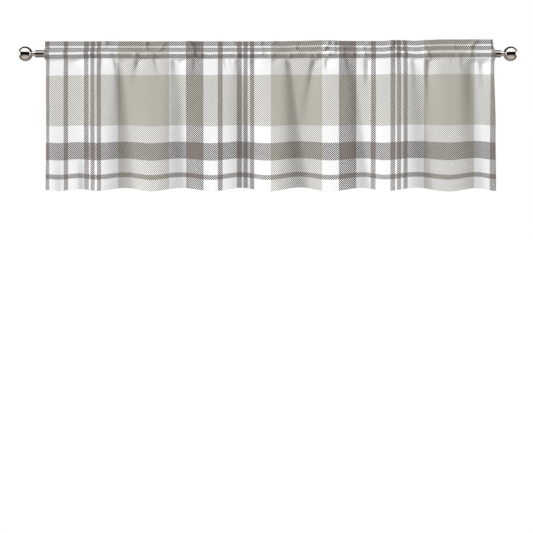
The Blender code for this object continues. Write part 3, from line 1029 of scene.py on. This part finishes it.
def ink_ramp(tree, depth, inks):
    """The colour of an ink by its depth: 0 for white, 0.5 for beige, 1 for taupe."""
    ramp = tree.nodes.new("ShaderNodeValToRGB")
    ramp.color_ramp.interpolation = "LINEAR"
    fill_ramp(ramp, [(DEPTH_OF_INK[name], inks[name]) for name in ("white", "beige", "taupe")])
    tree.links.new(depth, ramp.inputs["Fac"])
    return ramp.outputs["Color"]


def mix_number(tree, share, first, second):
    difference = math_node(tree, "SUBTRACT", second, first)
    return math_node(tree, "MULTIPLY_ADD", difference, share, first)


def depth_colour(name):
    return (DEPTH_OF_INK[name],) * 3 + (1.0,)


def cloth_coordinates(tree, layer):
    """A place on the cloth as two numbers: across, and down from the header's top."""
    uv = tree.nodes.new("ShaderNodeUVMap")
    uv.uv_map = layer
    split = tree.nodes.new("ShaderNodeSeparateXYZ")
    tree.links.new(uv.outputs["UV"], split.inputs[0])
    return split


def crossing_waves(tree, split, wavelength):
    """A wave across times a wave down, which changes sign at every half wavelength."""
    waves = []
    for output in ("X", "Y"):
        turns = math_node(tree, "MULTIPLY", split.outputs[output], 2.0 * math.pi / wavelength)
        waves.append(math_node(tree, "SINE", turns))
    return math_node(tree, "MULTIPLY", waves[0], waves[1])


def stripes_along(tree, place):
    """The depth of ink of the stripes that cross a way over the cloth."""
    repeats = math_node(tree, "DIVIDE", place, SETT_THREADS * THREAD)
    return sett_ramp(tree, math_node(tree, "FRACT", repeats), depth_colour)


def is_deeper(tree, first, second):
    difference = math_node(tree, "SUBTRACT", first, second)
    return math_node(tree, "GREATER_THAN", difference, LEAST_INK_STEP)


def plaid_colour(tree):
    """The printed plaid: two sets of stripes, in tiny checks where their colours cross."""
    split = cloth_coordinates(tree, "print")
    across = math_node(tree, "SUBTRACT", split.outputs["X"], SETT_START_X)
    warp = stripes_along(tree, across)
    weft = stripes_along(tree, split.outputs["Y"])
    difference = math_node(tree, "SUBTRACT", warp, weft)
    cover = math_node(tree, "MULTIPLY", math_node(tree, "SIGN", difference), CHECK_COVER)
    cover = math_node(tree, "MULTIPLY_ADD", difference, CHECK_COVER_BY_DEPTH, cover)
    places = cloth_coordinates(tree, "checks")
    checks = crossing_waves(tree, places, 2.0 * CHECK_SIZE)
    warp_shows = math_node(tree, "LESS_THAN", checks, cover)
    shown = mix_number(tree, warp_shows, weft, warp)
    hidden = mix_number(tree, warp_shows, warp, weft)
    solid = ink_ramp(tree, shown, SOLID_INKS)
    dark = ink_ramp(tree, shown, CHECK_DARKS)
    light = ink_ramp(tree, shown, CHECK_LIGHTS)
    darkened = mix_colour(tree, is_deeper(tree, shown, hidden), solid, dark)
    return mix_colour(tree, is_deeper(tree, hidden, shown), darkened, light), split


def cloth_finish(tree, shader, split):
    """Matt woven surface: fine plain weave and slight slubs in the bump, and a soft sheen."""
    slub = tree.nodes.new("ShaderNodeTexNoise")
    slub.inputs["Scale"].default_value = SLUB_SCALE
    slub.inputs["Detail"].default_value = 2.0
    uv = tree.nodes.new("ShaderNodeUVMap")
    uv.uv_map = "print"
    tree.links.new(uv.outputs["UV"], slub.inputs["Vector"])
    weave = crossing_waves(tree, split, WEAVE_PITCH)
    height = math_node(tree, "MULTIPLY_ADD", slub.outputs["Fac"], SLUB_SHARE, weave)
    bump = tree.nodes.new("ShaderNodeBump")
    bump.inputs["Strength"].default_value = WEAVE_STRENGTH
    bump.inputs["Distance"].default_value = WEAVE_DEPTH
    tree.links.new(height, bump.inputs["Height"])
    tree.links.new(bump.outputs["Normal"], shader.inputs["Normal"])
    shader.inputs["Roughness"].default_value = 0.88
    shader.inputs["Specular IOR Level"].default_value = 0.2
    shader.inputs["Sheen Weight"].default_value = 0.08
    shader.inputs["Sheen Roughness"].default_value = 0.5


def printed_material():
    material, tree, shader = new_material("printed_cloth")
    colour, split = plaid_colour(tree)
    tree.links.new(colour, shader.inputs["Base Color"])
    cloth_finish(tree, shader, split)
    return material


def wrong_side_material():
    """The unprinted side: off-white, with the print showing faintly through."""
    material, tree, shader = new_material("cloth_wrong_side")
    colour, split = plaid_colour(tree)
    faint = mix_colour(tree, WRONG_SIDE_VEIL, colour, WRONG_SIDE_COLOUR)
    tree.links.new(faint, shader.inputs["Base Color"])
    cloth_finish(tree, shader, split)
    return material


def polished_material(name, colour, roughness):
    """Polished nickel plate, with faint uneven gloss from handling."""
    material, tree, shader = new_material(name)
    shader.inputs["Metallic"].default_value = 1.0
    shader.inputs["Base Color"].default_value = colour
    smear = tree.nodes.new("ShaderNodeTexNoise")
    smear.inputs["Scale"].default_value = 60.0
    smear.inputs["Detail"].default_value = 4.0
    coordinates = tree.nodes.new("ShaderNodeTexCoord")
    tree.links.new(coordinates.outputs["Object"], smear.inputs["Vector"])
    uneven = math_node(tree, "MULTIPLY_ADD", smear.outputs["Fac"], SMEAR, roughness)
    tree.links.new(uneven, shader.inputs["Roughness"])
    return material


def thread_material():
    material, tree, shader = new_material("sewing_thread")
    shader.inputs["Base Color"].default_value = (0.66, 0.64, 0.60, 1.0)
    shader.inputs["Roughness"].default_value = 0.6
    twist = tree.nodes.new("ShaderNodeTexNoise")
    twist.inputs["Scale"].default_value = 4000.0
    coordinates = tree.nodes.new("ShaderNodeTexCoord")
    tree.links.new(coordinates.outputs["Object"], twist.inputs["Vector"])
    bump = tree.nodes.new("ShaderNodeBump")
    bump.inputs["Strength"].default_value = 0.4
    bump.inputs["Distance"].default_value = 0.0001
    tree.links.new(twist.outputs["Fac"], bump.inputs["Height"])
    tree.links.new(bump.outputs["Normal"], shader.inputs["Normal"])
    return material


# Rod and finials


def turned(name, profile, material, side):
    """A profile of (radius, distance along) turned round the rod's axis, with crisp edges."""
    mesh = bpy.data.meshes.new(name)
    edges = [(index, index + 1) for index in range(len(profile) - 1)]
    mesh.from_pydata([(radius, 0.0, along) for radius, along in profile], edges, [])
    thing = bpy.data.objects.new(name, mesh)
    bpy.context.scene.collection.objects.link(thing)
    thing.rotation_euler = (0.0, side * math.pi / 2.0, 0.0)
    turn = thing.modifiers.new("turn", "SCREW")
    turn.axis = "Z"
    turn.angle = 2.0 * math.pi
    turn.steps = TURNED_SIDES
    turn.render_steps = TURNED_SIDES
    turn.use_merge_vertices = True
    turn.merge_threshold = 0.00001
    turn.use_smooth_shade = True
    split = thing.modifiers.new("crisp edges", "EDGE_SPLIT")
    split.split_angle = math.radians(SHARP_ANGLE)
    mesh.materials.append(material)
    return thing


def arc(centre, radius, first, last, steps):
    """Points on an arc in (radius, along), with angles in degrees from straight along."""
    points = []
    for step in range(steps + 1):
        angle = math.radians(blend(first, last, step / steps))
        points.append((centre[0] + radius * math.sin(angle), centre[1] + radius * math.cos(angle)))
    return points


def finial_profile():
    ball = BALL_DIAMETER / 2.0
    neck = NECK_DIAMETER / 2.0
    flare = NECK_FLARE
    rim_bottom = ROD_LENGTH / 2.0 + CLEARANCE
    rim_top = rim_bottom + PLUG_RIM
    rod = ROD_DIAMETER / 2.0
    spigot = rod - ROD_WALL - CLEARANCE
    flare_radial = neck + flare
    flare_along = math.sqrt((ball + flare) ** 2 - flare_radial ** 2)
    meet_angle = math.degrees(math.atan2(flare_radial, -flare_along))
    points = arc((0.0, BALL_CENTRE), ball, 0.0, meet_angle, 40)
    points += arc((flare_radial, BALL_CENTRE - flare_along), flare, meet_angle - 180.0, -90.0, 6)[1:]
    points += arc((neck + RIM_FLARE, rim_top + RIM_FLARE), RIM_FLARE, -90.0, -180.0, 6)
    points += arc((rod - RIM_ROUNDING, rim_top - RIM_ROUNDING), RIM_ROUNDING, 0.0, 90.0, 5)
    points += [(rod, rim_bottom), (spigot, rim_bottom), (spigot, rim_bottom - SPIGOT_LENGTH),
               (0.0, rim_bottom - SPIGOT_LENGTH)]
    return points


def rod_profile():
    outer = ROD_DIAMETER / 2.0
    inner = outer - ROD_WALL
    half = ROD_LENGTH / 2.0
    return [(outer, half), (outer, -half), (inner, -half), (inner, half), (outer, half)]


def build_metal():
    tube = polished_material("polished_tube", TUBE_COLOUR, TUBE_ROUGHNESS)
    ball = polished_material("polished_ball", BALL_COLOUR, BALL_ROUGHNESS)
    rod = turned("rod_tube", rod_profile(), tube, 1.0)
    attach(rod, BODY)
    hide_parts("rod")
    for name, side in (("left", -1.0), ("right", 1.0)):
        finial = turned("finial_ball_" + name, finial_profile(), ball, side)
        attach(finial, BODY)
        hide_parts("finial_" + name)


# Stage


def build_world():
    world = bpy.data.worlds.new("studio")
    bpy.context.scene.world = world
    world.use_nodes = True
    tree = world.node_tree
    tree.nodes.clear()
    output = tree.nodes.new("ShaderNodeOutputWorld")
    background = tree.nodes.new("ShaderNodeBackground")
    path = tree.nodes.new("ShaderNodeLightPath")
    coordinates = tree.nodes.new("ShaderNodeTexCoord")
    split = tree.nodes.new("ShaderNodeSeparateXYZ")
    tree.links.new(coordinates.outputs["Generated"], split.inputs[0])
    room = room_seen_in_metal(tree, split)
    from_behind = soft_threshold(tree, split.outputs["Y"], AMBIENT_BEHIND_FROM, 2.0)
    ambient = mix_colour(tree, from_behind, grey(AMBIENT), grey(AMBIENT_BEHIND))
    soft = mix_colour(tree, path.outputs["Is Glossy Ray"], ambient, room)
    seen = mix_colour(tree, path.outputs["Is Camera Ray"], soft, (1.0, 1.0, 1.0, 1.0))
    tree.links.new(seen, background.inputs["Color"])
    tree.links.new(background.outputs["Background"], output.inputs["Surface"])


def grey(level):
    return (level, level, level, 1.0)


def room_seen_in_metal(tree, split):
    """A room for reflections: white above, dark at eye height with a white patch aside, warm below."""
    height = math_node(tree, "MULTIPLY_ADD", split.outputs["Z"], 0.5, 0.5)
    front, back, sides = (room_ramp(tree, height, stops)
                          for stops in (ROOM_FRONT, ROOM_BACK, ROOM_SIDES))
    width = math_node(tree, "ABSOLUTE", split.outputs["X"])
    aside = math_node(tree, "MULTIPLY_ADD", split.outputs["Y"], ROOM_SIDES_TURN, width)
    to_side = soft_threshold(tree, aside, ROOM_SIDES_FROM, 10.0)
    behind = soft_threshold(tree, split.outputs["Y"], ROOM_BACK_FROM, 9.0)
    ends = mix_colour(tree, behind, front, back)
    return mix_colour(tree, to_side, ends, sides)


def room_ramp(tree, height, stops):
    ramp = tree.nodes.new("ShaderNodeValToRGB")
    ramp.color_ramp.interpolation = "EASE"
    fill_ramp(ramp, stops)
    tree.links.new(height, ramp.inputs["Fac"])
    return ramp.outputs["Color"]


def soft_threshold(tree, value, middle, steepness):
    """0 below the middle and 1 above it, with a soft edge."""
    raised = math_node(tree, "MULTIPLY_ADD", value, steepness, 0.5 - middle * steepness)
    return math_node(tree, "MINIMUM", math_node(tree, "MAXIMUM", raised, 0.0), 1.0)


def fill_ramp(ramp, stops):
    elements = ramp.color_ramp.elements
    while len(elements) > 1:
        elements.remove(elements[-1])
    for index, (position, colour) in enumerate(stops):
        element = elements[0] if index == 0 else elements.new(position)
        element.position = position
        element.color = colour


def build_lights():
    sun_data = bpy.data.lights.new("key", "SUN")
    sun_data.energy = SUN_STRENGTH
    sun_data.angle = SUN_ANGLE
    sun = bpy.data.objects.new("key", sun_data)
    sun.rotation_mode = "QUATERNION"
    sun.rotation_quaternion = Vector(SUN_TOWARDS).to_track_quat("-Z", "Y")
    sun.visible_glossy = False
    bpy.context.scene.collection.objects.link(sun)


def build_floor():
    bpy.ops.mesh.primitive_circle_add(vertices=96, radius=FLOOR_RADIUS, fill_type="NGON",
                                      location=(0.0, 0.0, FLOOR_HEIGHT))
    floor = bpy.context.object
    floor.name = "floor"
    floor.visible_glossy = False
    material, tree, shader = new_material("pale_floor")
    shader.inputs["Base Color"].default_value = FLOOR_COLOUR
    shader.inputs["Roughness"].default_value = 0.9
    floor.data.materials.append(material)


def build_camera():
    """A level camera, square to the cloth, placed so that the picture's scale and centre match."""
    data = bpy.data.cameras.new("camera")
    data.sensor_width = SENSOR * 1000.0
    data.lens = LENS * 1000.0
    camera = bpy.data.objects.new("camera", data)
    bpy.context.scene.collection.objects.link(camera)
    half = PHOTO_WIDTH / 2.0
    across = (half - ROD_MIDDLE_PIXEL[0]) * METRES_PER_PIXEL
    up = (ROD_MIDDLE_PIXEL[1] - half) * METRES_PER_PIXEL
    distance = PHOTO_WIDTH * METRES_PER_PIXEL * LENS / SENSOR
    camera.location = (across, -distance, up)
    camera.rotation_euler = (math.pi / 2.0, 0.0, 0.0)
    bpy.context.scene.camera = camera


def main():
    scene = bpy.context.scene
    scene.view_settings.view_transform = "Standard"
    build_camera()
    build_world()
    build_lights()
    build_floor()
    build_metal()
    cloth = build_cloth(printed_material(), wrong_side_material())
    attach(cloth, BODY)
    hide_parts("valance")
    stitches = build_stitches(thread_material())
    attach(stitches, BODY)


main()
